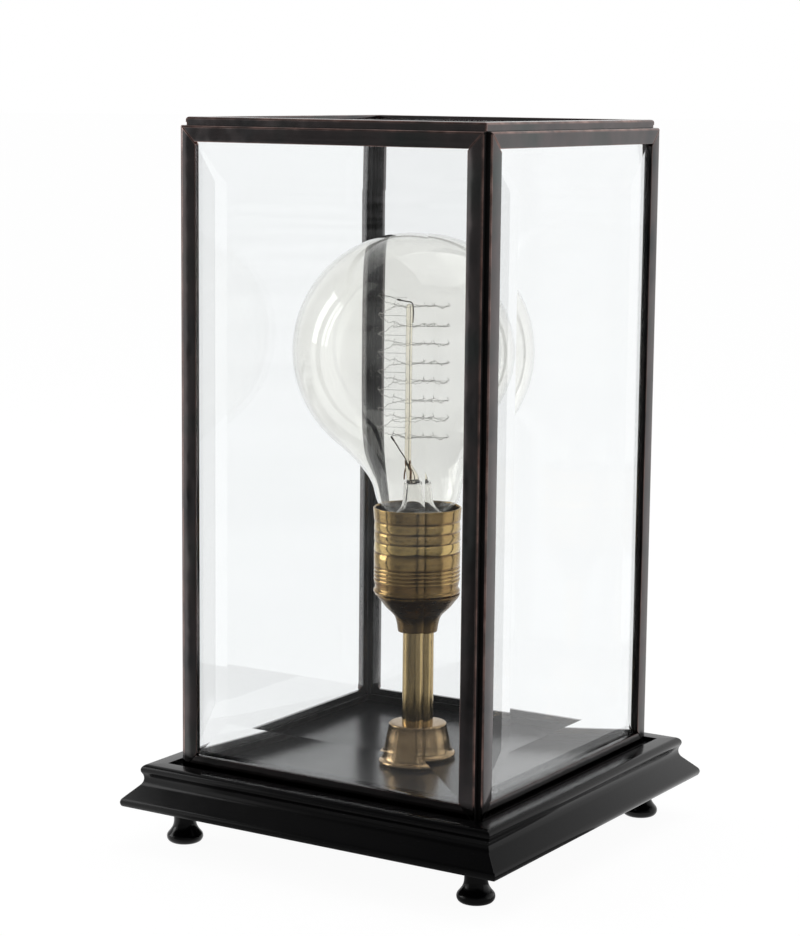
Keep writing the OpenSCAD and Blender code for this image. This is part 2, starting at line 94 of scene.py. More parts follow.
def make_camera():
    data = bpy.data.cameras.new("camera")
    data.lens = 95.97
    data.clip_start, data.clip_end = 0.05, 60
    camera = bpy.data.objects.new("camera", data)
    camera.location = (0.6857, -1.1163, 0.3992)
    camera.rotation_euler = (radians(81.242), radians(-0.570), radians(32.138))
    bpy.context.scene.collection.objects.link(camera)
    bpy.context.scene.camera = camera


def softbox(name, azimuth, elevation, distance, width, height, radiance):
    """An area lamp that faces the lamp's middle from that side, azimuth 0 being the front."""
    data = bpy.data.lights.new(name, "AREA")
    data.shape = "RECTANGLE"
    data.size, data.size_y = width, height
    data.energy = radiance * pi * width * height
    box = bpy.data.objects.new(name, data)
    a, e = radians(azimuth), radians(elevation)
    away = Vector((sin(a) * cos(e), -cos(a) * cos(e), sin(e)))
    box.location = Vector((0, 0, 0.2)) + away * distance
    box.rotation_euler = away.to_track_quat("Z", "Y").to_euler()
    bpy.context.scene.collection.objects.link(box)


# ------------------------------------------------------------------ material nodes


def add(tree, kind, inputs=None, **settings):
    """A shader node with its settings, and its inputs by name or number: a value, or a socket
    to link."""
    made = tree.nodes.new("ShaderNode" + kind)
    for key, value in settings.items():
        setattr(made, key, value)
    for key, value in (inputs or {}).items():
        if isinstance(value, bpy.types.NodeSocket):
            tree.links.new(value, made.inputs[key])
        else:
            made.inputs[key].default_value = value
    return made


def new_material(name, **shader_inputs):
    material = bpy.data.materials.new(name)
    material.use_nodes = True
    tree = material.node_tree
    shader = tree.nodes["Principled BSDF"]
    for key, value in shader_inputs.items():
        shader.inputs[key.replace("_", " ")].default_value = value
    return material, tree, shader


def noise(tree, scale, detail=4.0, stretch=(1, 1, 1), roughness=0.5):
    """Noise on Object coordinates, so many features to the metre, stretched along the axes."""
    place = add(tree, "TexCoord").outputs["Object"]
    mapped = add(tree, "Mapping", {"Vector": place, "Scale": stretch}).outputs[0]
    return add(tree, "TexNoise", {"Vector": mapped, "Scale": scale, "Detail": detail,
                                  "Roughness": roughness}).outputs["Fac"]


def ramp(tree, source, stops):
    """Colours over a value, from (position, colour) stops."""
    made = add(tree, "ValToRGB", {"Fac": source})
    elements = made.color_ramp.elements
    while len(elements) < len(stops):
        elements.new(0.5)
    for element, (position, colour) in zip(elements, stops):
        element.position = position
        element.color = (*colour, 1)
    return made.outputs["Color"]


def fade(tree, source, low, high, to_low=0.0, to_high=1.0):
    """A value mapped from one range to another, and kept inside it."""
    return add(tree, "MapRange", {"Value": source, "From Min": low, "From Max": high,
                                  "To Min": to_low, "To Max": to_high}).outputs[0]


def math(tree, operation, a, b):
    return add(tree, "Math", {0: a, 1: b}, operation=operation).outputs[0]


def mix(tree, share, a, b):
    """A colour between colours or sockets a and b."""
    made = add(tree, "Mix", {0: share}, data_type="RGBA")
    for at, value in ((6, a), (7, b)):
        if isinstance(value, bpy.types.NodeSocket):
            tree.links.new(value, made.inputs[at])
        else:
            made.inputs[at].default_value = (*value, 1)
    return made.outputs[2]


def bump(tree, shader, height, distance, strength=1.0):
    made = add(tree, "Bump", {"Height": height, "Distance": distance, "Strength": strength})
    tree.links.new(made.outputs[0], shader.inputs["Normal"])


def let_light_in(tree, shader, tint):
    """Lamps and scattered light pass through the glass, so that what it shuts in is lit."""
    path = add(tree, "LightPath")
    passing = math(tree, "MAXIMUM", path.outputs["Is Shadow Ray"], path.outputs["Is Diffuse Ray"])
    clear = add(tree, "BsdfTransparent", {"Color": (*tint, 1)})
    both = add(tree, "MixShader", {0: passing, 1: shader.outputs[0], 2: clear.outputs[0]})
    tree.links.new(both.outputs[0], tree.nodes["Material Output"].inputs["Surface"])


def came_finish():
    """Dark bronze patina, uneven, and rubbed to bare copper along the edges marked as worn. The
    foot of the case, which stands in the well, is painted nearly black as shade in the well."""
    material, tree, shader = new_material("dark_bronze", Metallic=1.0)
    clouds = ramp(tree, noise(tree, 24, 4), [(0.30, (0.055, 0.060, 0.062)),
                                             (0.50, (0.098, 0.086, 0.086)),
                                             (0.68, (0.070, 0.076, 0.074))])
    worn = add(tree, "Attribute", attribute_name="worn").outputs["Fac"]
    patchy = fade(tree, noise(tree, 45, 5, roughness=0.7), 0.38, 0.64, 0.2, 1.0)
    copper = ramp(tree, noise(tree, 110, 3), [
        (0.35, (0.30, 0.16, 0.13)), (0.6, (0.5, 0.32, 0.28))])
    share = math(tree, "MULTIPLY", worn, patchy)
    height = add(tree, "SeparateXYZ", {0: add(tree, "TexCoord").outputs["Object"]}).outputs[2]
    # Painted shade: below these heights the case's foot, down in the well, is mixed nearly black.
    shade_low, shade_high = panel_low.z + 7.5, panel_low.z + 10
    foot = fade(tree, height, shade_low / 1000, shade_high / 1000)
    painted_shade = mix(tree, 0.3, (0.012, 0.012, 0.012), clouds)
    tree.links.new(mix(tree, foot, painted_shade, mix(tree, share, clouds, copper)),
                   shader.inputs["Base Color"])
    rough = fade(tree, noise(tree, 80, 5), 0.3, 0.7, 0.08, 0.18)
    tree.links.new(rough, shader.inputs["Roughness"])
    bump(tree, shader, noise(tree, 40, 2), 0.0009, 0.6)
    return material


def came_inside_and_notch_shade_finish():
    """The side of the cames that faces into the case: dull, nearly black. The same near-black
    is painted shade in the notches at the case's corners.
    """
    material, tree, shader = new_material("dull_bronze_and_notch_shade", Specular_IOR_Level=0.15)
    colour = ramp(tree, noise(tree, 50, 4), [
        (0.3, (0.004, 0.004, 0.004)), (0.7, (0.008, 0.0075, 0.007))])
    tree.links.new(colour, shader.inputs["Base Color"])
    rough = fade(tree, noise(tree, 120, 5), 0.3, 0.7, 0.42, 0.6)
    tree.links.new(rough, shader.inputs["Roughness"])
    bump(tree, shader, noise(tree, 300, 3), 0.0002, 0.3)
    return material


def black_paint():
    """Satin black paint over close-grained wood."""
    material, tree, shader = new_material("satin_black_paint", Specular_IOR_Level=0.19)
    colour = ramp(tree, noise(tree, 18, 4), [
        (0.3, (0.0012, 0.0012, 0.0015)), (0.7, (0.0024, 0.0024, 0.0028))])
    tree.links.new(colour, shader.inputs["Base Color"])
    rough = fade(tree, noise(tree, 70, 5), 0.3, 0.7, 0.15, 0.2)
    tree.links.new(rough, shader.inputs["Roughness"])
    bump(tree, shader, noise(tree, 300, 2), 0.00005, 0.1)
    return material


def plate_finish():
    """Satin black sheet with a faint rolled grain, glossier in streaks along it."""
    material, tree, shader = new_material("satin_black_sheet", Specular_IOR_Level=0.5)
    colour = ramp(tree, noise(tree, 30, 5, (1, 6, 1)), [
        (0.3, (0.014, 0.014, 0.015)), (0.7, (0.024, 0.024, 0.026))])
    tree.links.new(colour, shader.inputs["Base Color"])
    rough = fade(tree, noise(tree, 40, 3, (1, 5, 1)), 0.3, 0.7, 0.22, 0.25)
    tree.links.new(rough, shader.inputs["Roughness"])
    bump(tree, shader, noise(tree, 120, 2), 0.00002, 0.1)
    return material


def brass_finish(name, dark, light, low_rough, high_rough, grain=(1, 1, 1), painted_bands=None):
    """Brass with a patina in soft clouds and turning marks along its grain, and where it has
    painted bands, (height in millimetres, lightness) stops of painted reflection and shade."""
    material, tree, shader = new_material(name, Metallic=1.0)
    clouds = fade(tree, noise(tree, 45, 5), 0.3, 0.7)
    marks = fade(tree, noise(tree, 260, 3, grain), 0.25, 0.75)
    share = math(tree, "ADD", math(tree, "MULTIPLY", clouds, 0.5),
                 math(tree, "MULTIPLY", marks, 0.4))
    # Painted reflection and shade: lightness bands by height laid over the brass colour.
    if painted_bands:
        height = add(tree, "SeparateXYZ", {0: add(tree, "TexCoord").outputs["Object"]}).outputs[2]
        low, high = painted_bands[0][0], painted_bands[-1][0]
        painted_tone = ramp(tree, fade(tree, height, low / 1000, high / 1000),
                    [((z - low) / (high - low), (k, k, k)) for z, k in painted_bands])
        share = math(tree, "ADD", math(tree, "MULTIPLY", share, 0.6),
                     math(tree, "SUBTRACT", painted_tone, 0.35))
    share = fade(tree, share, 0, 1)
    tree.links.new(mix(tree, share, dark, light), shader.inputs["Base Color"])
    tree.links.new(fade(tree, marks, 0, 1, low_rough, high_rough), shader.inputs["Roughness"])
    bump(tree, shader, marks, 0.000008, 0.25)
    return material


def plain_finish(name, dark, light, low_rough, high_rough, metallic=0.0, scale=60):
    """A finish for small hidden parts: two near colours in clouds, and uneven gloss."""
    material, tree, shader = new_material(name, Metallic=metallic)
    clouds = fade(tree, noise(tree, scale, 4), 0.3, 0.7)
    tree.links.new(mix(tree, clouds, dark, light), shader.inputs["Base Color"])
    uneven = noise(tree, 3 * scale, 4)
    rough = fade(tree, uneven, 0.3, 0.7, low_rough, high_rough)
    tree.links.new(rough, shader.inputs["Roughness"])
    bump(tree, shader, uneven, 0.00008, 0.4)
    return material


def glass_finish(name, thin, thick, tint, ior):
    """Clear glass, a little uneven in colour."""
    material, tree, shader = new_material(name, Transmission_Weight=1.0, Roughness=0.0, IOR=ior)
    tree.links.new(mix(tree, fade(tree, noise(tree, 14, 2), 0.3, 0.7), thin, thick),
                   shader.inputs["Base Color"])
    let_light_in(tree, shader, tint)
    return material


DARK_BRONZE = came_finish()
DULL_BRONZE_AND_NOTCH_SHADE = came_inside_and_notch_shade_finish()
BLACK_PAINT = black_paint()
BLACK_SHEET = plate_finish()

# Painted light and shade up the lampholder's shell: bead, four ribs in painted light and shade,
# a plain brown band, the bright band as a painted reflection, and the paler rings between the
# dark turned lines, which are painted shade in the grooves.
SHELL_PAINTED_LIGHT_BANDS = [(129, 0.25), (134, 0.3), (137, 0.15), (138, 0.7), (138.9, 0.1), (140, 0.7),
               (141, 0.1), (142, 0.7), (143.1, 0.1), (144.2, 0.7), (145.2, 0.1), (146.5, 0.5),
               (152.4, 0.52), (153.2, 0.0), (154, 1.0), (158.4, 1.0), (159, 0.1), (160, 0.65),
               (163.8, 0.6), (164.5, 0.05), (165.5, 0.8), (169, 0.75), (170, 0.1), (171, 0.45),
               (177.5, 0.5)]
OLD_BRASS_WITH_PAINTED_BANDS = brass_finish("antique_brass", (0.2, 0.115, 0.05), (0.6, 0.435, 0.175), 0.12, 0.2,
                         (1, 1, 9), SHELL_PAINTED_LIGHT_BANDS)
FOOT_BRASS = brass_finish("antique_brass_foot", (0.33, 0.225, 0.125), (0.47, 0.345, 0.2),
                          0.18, 0.26, (2, 2, 0.5))
STEM_BRASS = brass_finish("antique_brass_tube", (0.34, 0.24, 0.11), (0.56, 0.42, 0.21),
                          0.14, 0.24, (7, 7, 0.6))
# Painted shade: the dome under the shell takes a much darker copy of the brass.
SHADED_DOME_BRASS = brass_finish("antique_brass_dome_shaded", (0.11, 0.066, 0.025), (0.2, 0.125, 0.05),
                          0.25, 0.36, (1, 1, 5))
BRIGHT_BRASS = brass_finish("bright_brass", (0.62, 0.46, 0.2), (0.78, 0.6, 0.3),
                            0.15, 0.25, (1, 1, 6))
PANE_GLASS = glass_finish("pane_glass", (0.978, 0.990, 0.992), (0.984, 0.994, 0.998),
                          (0.965, 0.975, 0.98), 1.5)
BULB_GLASS = glass_finish("bulb_glass", (0.975, 0.97, 0.94), (0.982, 0.976, 0.955),
                          (0.97, 0.97, 0.95), 1.46)
FLARE_GLASS = glass_finish("flare_glass", (0.975, 0.97, 0.95), (0.985, 0.98, 0.965),
                           (0.97, 0.97, 0.95), 1.5)
ROD_GLASS = glass_finish("rod_glass", (0.93, 0.86, 0.72), (0.97, 0.94, 0.84),
                         (0.95, 0.94, 0.9), 1.5)
STEEL = plain_finish("zinc_steel", (0.42, 0.42, 0.43), (0.6, 0.6, 0.61), 0.28, 0.42, 1.0)
WIRE = plain_finish("nickel_wire", (0.10, 0.09, 0.075), (0.2, 0.185, 0.16), 0.3, 0.45, 1.0, 300)
HOOK_WIRE = plain_finish("molybdenum", (0.26, 0.25, 0.23), (0.4, 0.39, 0.37), 0.3, 0.45,
                         1.0, 300)
FILAMENT = plain_finish("tungsten", (0.34, 0.33, 0.31), (0.5, 0.48, 0.46), 0.4, 0.55, 1.0, 400)
SEAL = plain_finish("copper_seal", (0.22, 0.12, 0.06), (0.36, 0.21, 0.11), 0.35, 0.5, 1.0, 300)
CERAMIC = plain_finish("white_ceramic", (0.72, 0.7, 0.65), (0.8, 0.79, 0.75), 0.45, 0.6)
BLACK_GLASS = plain_finish("black_insulator", (0.012, 0.011, 0.01), (0.03, 0.027, 0.024),
                           0.1, 0.2)
RUBBER = plain_finish("black_rubber", (0.02, 0.02, 0.02), (0.035, 0.034, 0.033), 0.5, 0.65)
BOARD = plain_finish("black_board", (0.018, 0.017, 0.016), (0.034, 0.032, 0.03), 0.75, 0.9,
                     0.0, 240)
LEAD = plain_finish("brown_lead", (0.20, 0.10, 0.045), (0.28, 0.15, 0.07), 0.5, 0.6)

# ------------------------------------------------------------------ ways to make a piece


def arc(x, z, r, start, end, steps):
    """Points of an arc in an outline, from one angle in degrees to the other."""
    turn = [radians(start + (end - start) * i / steps) for i in range(steps + 1)]
    return [(x + r * cos(a), z + r * sin(a)) for a in turn]


def bend(a, b, c, d, steps):
    """Points of a curve from a to d that leaves towards b and arrives from c."""
    made = []
    for i in range(steps + 1):
        t = i / steps
        w = ((1 - t) ** 3, 3 * t * (1 - t) ** 2, 3 * t * t * (1 - t), t ** 3)
        made.append(tuple(sum(k * p[j] for k, p in zip(w, (a, b, c, d))) for j in (0, 1)))
    return made


def turned(outline, steps=96, closed=False):
    """A shape turned round the vertical axis from (radius, height) points."""
    bm = bmesh.new()
    verts = [bm.verts.new((r, 0, z)) for r, z in outline]
    ends = verts[1:] + verts[:1] if closed else verts[1:]
    edges = [bm.edges.new(pair) for pair in zip(verts, ends)]
    bmesh.ops.spin(bm, geom=verts + edges, cent=(0, 0, 0), axis=(0, 0, 1), dvec=(0, 0, 0),
                   angle=2 * pi, steps=steps, use_merge=True)
    bmesh.ops.remove_doubles(bm, verts=bm.verts, dist=0.002)
    bmesh.ops.recalc_face_normals(bm, faces=bm.faces)
    return bm


def on_column(bm, beside=0.0):
    """Moves a shape made round the origin to the stem's axis, or a little beside it."""
    bmesh.ops.translate(bm, verts=bm.verts, vec=column_at + beside * TOWARDS_RIGHT)
    return bm


def cut_thread(bm, low, high):
    """Presses a round thread into a turned wall between two heights, and lets it run out over
    2 mm at both ends."""
    for v in bm.verts:
        if low < v.co.z < high:
            turn = atan2(v.co.y, v.co.x) / (2 * pi)
            wave = 0.5 - 0.5 * cos(2 * pi * (v.co.z / THREAD_PITCH - turn))
            full = min(1, (v.co.z - low) / 2, (high - v.co.z) / 2)
            v.co.xy *= 1 - THREAD_DEPTH * wave * full / hypot(v.co.x, v.co.y)
    return bm


def square_ring(outline, corner_round):
    """A mitred square ring from a closed outline of (distance from the middle, height)."""
    bm = bmesh.new()
    verts = [bm.verts.new((x, x, z)) for x, z in outline]
    edges = [bm.edges.new(pair) for pair in zip(verts, verts[1:] + verts[:1])]
    bmesh.ops.spin(bm, geom=verts + edges, cent=(0, 0, 0), axis=(0, 0, 1), dvec=(0, 0, 0),
                   angle=2 * pi, steps=4, use_merge=True)
    bmesh.ops.remove_doubles(bm, verts=bm.verts, dist=0.002)
    bmesh.ops.recalc_face_normals(bm, faces=bm.faces)
    mitres = [e for e in bm.edges if all(abs(abs(v.co.x) - abs(v.co.y)) < 0.01 for v in e.verts)
              and e.verts[0].co.x * e.verts[1].co.x > 0 and e.verts[0].co.y * e.verts[1].co.y > 0]
    bmesh.ops.bevel(bm, geom=mitres, offset=corner_round, offset_type="OFFSET", segments=3,
                    profile=0.5, affect="EDGES", material=-1)
    return bm


def piece(name, bm, material, body, replaced=(), sharp=38):
    """Makes the mesh an object in metres that rides on a body and replaces CAD nodes. A face's
    material index picks from the materials, where there are more than one."""
    mesh = bpy.data.meshes.new(name)
    bm.to_mesh(mesh)
    bm.free()
    mesh.transform(Matrix.Scale(0.001, 4))
    mesh.shade_smooth()
    mesh.set_sharp_from_angle(angle=radians(sharp))
    for finish in material if isinstance(material, tuple) else (material,):
        mesh.materials.append(finish)
    made = bpy.data.objects.new(name, mesh)
    bpy.context.scene.collection.objects.link(made)
    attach(made, body)
    if replaced:
        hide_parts(*replaced)
    return made


def wires(routes, radius, sides=3, resolution=3):
    """A bmesh of round wires along smooth routes of points."""
    data = bpy.data.curves.new("wire_route", "CURVE")
    data.dimensions = "3D"
    data.bevel_depth, data.bevel_resolution = radius, sides
    data.resolution_u, data.use_fill_caps = resolution, True
    for route in routes:
        spline = data.splines.new("BEZIER")
        spline.bezier_points.add(len(route) - 1)
        for knot, place in zip(spline.bezier_points, route):
            knot.co = place
            knot.handle_left_type = knot.handle_right_type = "AUTO"
    holder = bpy.data.objects.new("wire_route", data)
    bpy.context.scene.collection.objects.link(holder)
    bpy.context.view_layer.update()
    mesh = bpy.data.meshes.new_from_object(holder)
    bm = bmesh.new()
    bm.from_mesh(mesh)
    bmesh.ops.remove_doubles(bm, verts=bm.verts, dist=0.001)
    bpy.data.objects.remove(holder)
    bpy.data.curves.remove(data)
    bpy.data.meshes.remove(mesh)
    return bm


def join(first, *others):
    """Adds the other bmeshes to the first."""
    for other in others:
        mesh = bpy.data.meshes.new("joining")
        other.to_mesh(mesh)
        other.free()
        first.from_mesh(mesh)
        bpy.data.meshes.remove(mesh)
    return first


def dress(material, *nodes):
    """Gives CAD nodes whose shape is right their finish."""
    for name in nodes:
        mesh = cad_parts[name].data
        mesh.materials.clear()
        mesh.materials.append(material)


# ------------------------------------------------------------------ base


def moulding_outline():
    """Nose, cove, slope and bead outside; inside, the grooves for the plate and the cover."""
    wall, well = half_base - 20.2, 96          # inner face above the cover, and side of the well
    plate_t, cover_t = 2, 1.5
    nose_r, cove_r, bead_r = 3, 5.3, 3.3
    nose = arc(half_base - 10.8, land_z - nose_r, nose_r, 90, -24, 10)
    cove = arc(half_base - 3.8, land_z - 7.4, cove_r, 147.8, 225, 8)
    bead = arc(half_base - bead_r, under_z + 2, bead_r, 45, -37.3, 9)
    return [(well, land_z)] + nose + cove + bead \
        + [(wall + 3, under_z), (wall + 3, under_z + cover_t), (wall, under_z + cover_t),
           (wall, well_z - plate_t), (well + 2.5, well_z - plate_t), (well + 2.5, well_z),
           (well, well_z)]


def make_base():
    ring = square_ring(moulding_outline(), 0.5)
    piece("base_moulding", ring, BLACK_PAINT, "base",
          ("base_front", "base_right", "base_back", "base_left"))
    foot_outline = [(0, 0), (6.2, 0)] + arc(6.6, 3.1, 3.1, -75, 40, 10) \
        + bend((8.98, 5.1), (6.9, 7.4), (5.9, 9), (5.9, 12.2), 8)[1:] \
        + bend((5.9, 12.2), (5.9, 15.5), (6.3, 18.2), (7.4, under_z), 6)[1:] + [(0, under_z)]
    for name, x, y in (("front_left", -1, -1), ("front_right", 1, -1), ("back_right", 1, 1),
                       ("back_left", -1, 1)):
        foot = turned(foot_outline, 64)
        bmesh.ops.translate(foot, verts=foot.verts, vec=(x * foot_at, y * foot_at, 0))
        piece("turned_foot_" + name, foot, BLACK_PAINT, "base", ("foot_" + name,))
    dress(BLACK_SHEET, "floor_plate")
    dress(BLACK_PAINT, "corner_blocks")
    dress(BOARD, "bottom_cover")
    dress(RUBBER, "cord_grommet")
    dress(CERAMIC, "terminal_block", "holder_insert")
    dress(LEAD, "inner_leads")
    dress(STEEL, "nipple", "lock_nut", "lock_washer", "cover_screws", "bulb_contact")
    dress(BRIGHT_BRASS, "holder_contact")
    dress(BLACK_GLASS, "bulb_insulator")


# ------------------------------------------------------------------ stem and lampholder


def make_stem():
    """The bell-shaped foot of the stem, drawn from the plate up, and the plain tube in it."""
    r, top, bore = flange_r, flange_high.z - well_z, stem_r - 0.15
    outline = [(bore, 0), (r - 0.9, 0)] + arc(r - 1.5, 1.9, 1.5, -60, 75, 8) \
        + bend((r - 1.6, 3.6), (r - 2.6, 4.8), (15, 8.4), (14.1, 12), 8) \
        + [(12.8, top - 1.2)] + arc(12, top - 0.9, 0.9, 20, 90, 4) + [(bore, top)]
    outline = [(x, z + well_z) for x, z in outline]
    piece("stem_foot", on_column(turned(outline, closed=True), STEM_BESIDE), FOOT_BRASS, "base",
          ("stem_flange",))
    tube = turned([(bore, stem_low.z), (stem_r, stem_low.z), (stem_r, stem_high.z),
                   (bore, stem_high.z)], closed=True)
    piece("stem_pipe", on_column(tube, STEM_BESIDE), STEM_BRASS, "base",
          ("stem_tube",))


def make_holder():
    """Dome, ribbed and lined shell with a rolled rim, its sleeve, and the threaded shell that
    takes the bulb."""
    z, joint = stem_high.z, shell_low.z
    dome = [(stem_r + 0.1, z - 1)] \
        + bend((8, z - 1), (8.5, z + 1), (8.5, z + 4), (9.8, z + 7), 8) \
        + bend((9.8, z + 7), (10.9, z + 9.4), (14.2, z + 11.2), (16.2, z + 14.2), 8)[1:] \
        + bend((16.2, z + 14.2), (17.6, z + 16.4), (19.4, joint - 1.2),
               (19.6, joint + 1), 6)[1:] \
        + [(18.2, joint + 1), (14.6, z + 15.4), (11, z + 11.2), (7.6, z + 7), (6.8, z + 4.5),
           (stem_r + 0.1, z + 4.5)]
    piece("holder_dome", on_column(turned(dome, closed=True), DOME_BESIDE), SHADED_DOME_BRASS, "base",
          ("holder_cap",))

    r, rim, inner = collar_r - 0.9, shell_high.z, collar_r - 1.7
    outline = [(inner, joint + 0.6), (r - 0.9, joint + 0.6)] \
        + arc(r - 1.3, joint + 2.6, 1.4, -62, 62, 8) \
        + [(r - 0.8, land_z + 91.2), (r - 0.3, land_z + 93.4)]
    ribs, rib_pitch = 4, 2.1
    for rib in range(ribs):
        low = land_z + 94.0 + rib_pitch * rib
        outline += [(r - 0.36, low), (r - 0.1, low + 0.5), (r + 0.04, low + 1),
                    (r, low + 1.4), (r - 0.36, low + 1.85)]
    outline += [(r - 0.06, land_z + 102.8)]
    for line, drop in ((110.3, 0.0), (115.8, 0.3), (121.2, 0.22), (126.6, 0.3)):
        z = land_z + line
        outline += [(r + 0.02 - drop, z - 0.55), (r - 0.42, z - 0.2), (r - 0.42, z + 0.25),
                    (r + 0.05, z + 0.6)]
    outline += [(r + 0.12, land_z + 128), (r + 0.42, rim - 1.6)] \
        + arc(r - 0.1, rim - 0.7, 0.6, 10, 170, 8) + [(inner, rim - 1.6)]
    shell = on_column(turned(outline, 128, closed=True), SHELL_BESIDE)
    piece("holder_body", shell, OLD_BRASS_WITH_PAINTED_BANDS, "base", ("holder_shell",), 60)
    low, high = span("holder_liner")
    sleeve = [(inner - 0.5, low.z), (inner - 0.05, low.z), (inner - 0.05, high.z),
              (inner - 0.5, high.z)]
    piece("holder_sleeve", on_column(turned(sleeve, closed=True), SHELL_BESIDE), BOARD, "base",
          ("holder_liner",))

    low, high = span("screw_shell")
    outer, wall, step = (high.x - low.x) / 2, 0.7, 0.4
    count = int((high.z - low.z) / step)
    heights = [low.z + (high.z - low.z) * i / count for i in range(count + 1)]
    outline = [(6, low.z)] + [(outer, z) for z in heights] \
        + [(outer - wall, z) for z in reversed(heights[2:])] + [(6, low.z + wall)]
    threaded = cut_thread(turned(outline, closed=True), low.z + 1.5, high.z - 1.5)
    piece("threaded_shell", on_column(threaded), BRIGHT_BRASS, "base",
          ("screw_shell",), 50)


# ------------------------------------------------------------------ bulb


def leaning(bm):
    """Tilts what is blown or sealed to the glass about the cap's top, then moves it there."""
    lean = Vector((globe_at.x - column_at.x, globe_at.y - column_at.y, globe_at.z - seat_z))
    turn = Vector((0, 0, 1)).rotation_difference(lean).to_matrix()
    bmesh.ops.rotate(bm, verts=bm.verts, cent=(0, 0, seat_z), matrix=turn)
    return on_column(bm)


def make_globe():
    """The blown glass: a short neck that opens into the ball, and the screw cap below it."""
    glass_wall, step = 0.8, 0.4
    neck = radians(-47)                    # where on the ball the neck begins
    start = (globe_r * cos(neck), globe_at.z + globe_r * sin(neck))
    shoulder = (20.6, land_z + 143)
    outline = bend((12, seat_z), (18.6, seat_z + 4), (19.5, seat_z + 8), shoulder, 8) \
        + bend(shoulder, (21.8, land_z + 153),
               (start[0] + 11 * sin(neck), start[1] - 11 * cos(neck)), start, 12)[1:] \
        + arc(0, globe_at.z, globe_r, -45, 90, 44)
    envelope = turned(outline, 128)
    bmesh.ops.solidify(envelope, geom=envelope.faces[:], thickness=glass_wall)
    piece("blown_globe", leaning(envelope), BULB_GLASS, "bulb", ("bulb_glass",))

    r, low_z, high_z = (cap_high.x - cap_low.x) / 2, cap_low.z, cap_high.z
    count = int((high_z - low_z - 2) / step)
    heights = [low_z + 1.5 + step * i for i in range(count)]
    cap = [(9, low_z), (r - 2.2, low_z), (r - 1, low_z + 0.6)] + [(r, z) for z in heights] \
        + [(r + 0.1, high_z)] + [(r - 0.6, z) for z in reversed(heights)] \
        + [(r - 1.6, low_z + 1.4), (9, low_z + 0.8)]
    cap = cut_thread(turned(cap, closed=True), low_z + 1, high_z - 3)
    piece("threaded_cap", on_column(cap), BRIGHT_BRASS, "bulb", ("bulb_cap",), 50)


def make_mount():
    """Flare tube with its pinch, and the rod, which bends over from the pinch to its axis."""
    pinch_z = land_z + 149
    foot_z = seat_z + 0.9
    flare = [(11, foot_z)] + bend((11, foot_z), (7.6, foot_z + 1.5), (5.8, foot_z + 4),
                                  (5.5, foot_z + 9), 8)[1:] \
        + [(4.9, pinch_z - 2.5)] + bend((4.9, pinch_z - 2.5), (4.8, pinch_z - 0.6),
                                        (3.9, pinch_z), (0, pinch_z), 6)[1:] \
        + bend((0, pinch_z - 1.4), (3.2, pinch_z - 1.5), (3.9, pinch_z - 1.9),
               (4.0, pinch_z - 3), 5) \
        + [(4.7, foot_z + 9)] + bend((4.7, foot_z + 9), (5, foot_z + 4), (7, foot_z + 2),
                                     (10.2, foot_z), 8)[1:]
    piece("mount_flare", leaning(turned(flare, 64, closed=True)), FLARE_GLASS, "bulb",
          ("bulb_mount",))
    rod_r = 1.75
    rod = bend((3.3, pinch_z - 0.6), (3.2, pinch_z + 5), (rod_r, pinch_z + 6),
               (rod_r, pinch_z + 10), 8) \
        + arc(0, mount_top - rod_r, rod_r, 0, 90, 6)
    rod = turned([(0, pinch_z - 0.6)] + rod, 32)
    lean_there = Vector((globe_at.x - column_at.x, globe_at.y - column_at.y, 0)) \
        * (pinch_z - seat_z) / (globe_at.z - seat_z)
    for v in rod.verts:
        share = min(max((v.co.z - pinch_z) / 10, 0), 1)
        v.co += lean_there.lerp(rod_axis - column_at, share * share * (3 - 2 * share))
    piece("mount_rod", on_column(rod), ROD_GLASS, "bulb")


rod_axis = (spiral_low + spiral_high) / 2
rod_axis.z = 0
coil_r = (spiral_high.x - spiral_low.x) / 2 - 0.35
coil_z = spiral_low.z + 1.4
COIL_TURNS, COIL_RISE, COIL_START = 7.85, 10, -93      # rise in mm a turn, start in degrees
HOOKS_A_TURN = 6
RIGHT_HOOK = 31.5                   # the hook that points to the right in the photograph
HOOK_STEP = 360 / HOOKS_A_TURN


def round_rod(angle, r, z):
    return rod_axis + Vector((r * cos(radians(angle)), r * sin(radians(angle)), z))


def coil_point(angle):
    """A point of the filament, which hangs a little between the hooks and has the crinkles that
    winding leaves. It keeps level round the right side and climbs on the left, and each turn
    leans back. Its first reach is level too."""
    draw_in, sag, lean_back = 1.5, 1.2, 1.3
    between = sin(pi * ((angle - RIGHT_HOOK) % HOOK_STEP / HOOK_STEP))
    r = coil_r - draw_in * between + 0.25 * sin(angle * 0.9)
    whole, part = divmod((angle - RIGHT_HOOK) / 360, 1)
    climb = min(max((part - 0.25) / 0.5, 0), 1)
    first = (RIGHT_HOOK - COIL_START) / 360
    height = COIL_RISE * (first + whole + climb * climb * (3 - 2 * climb))
    height = max(height, 5.2 - (angle - COIL_START) / 80) \
        - lean_back * sin(radians(angle - RIGHT_HOOK))
    z = coil_z + height - sag * between + 0.4 * sin(angle * 0.63) + 0.35 * sin(angle * 1.37)
    return round_rod(angle, r, z)


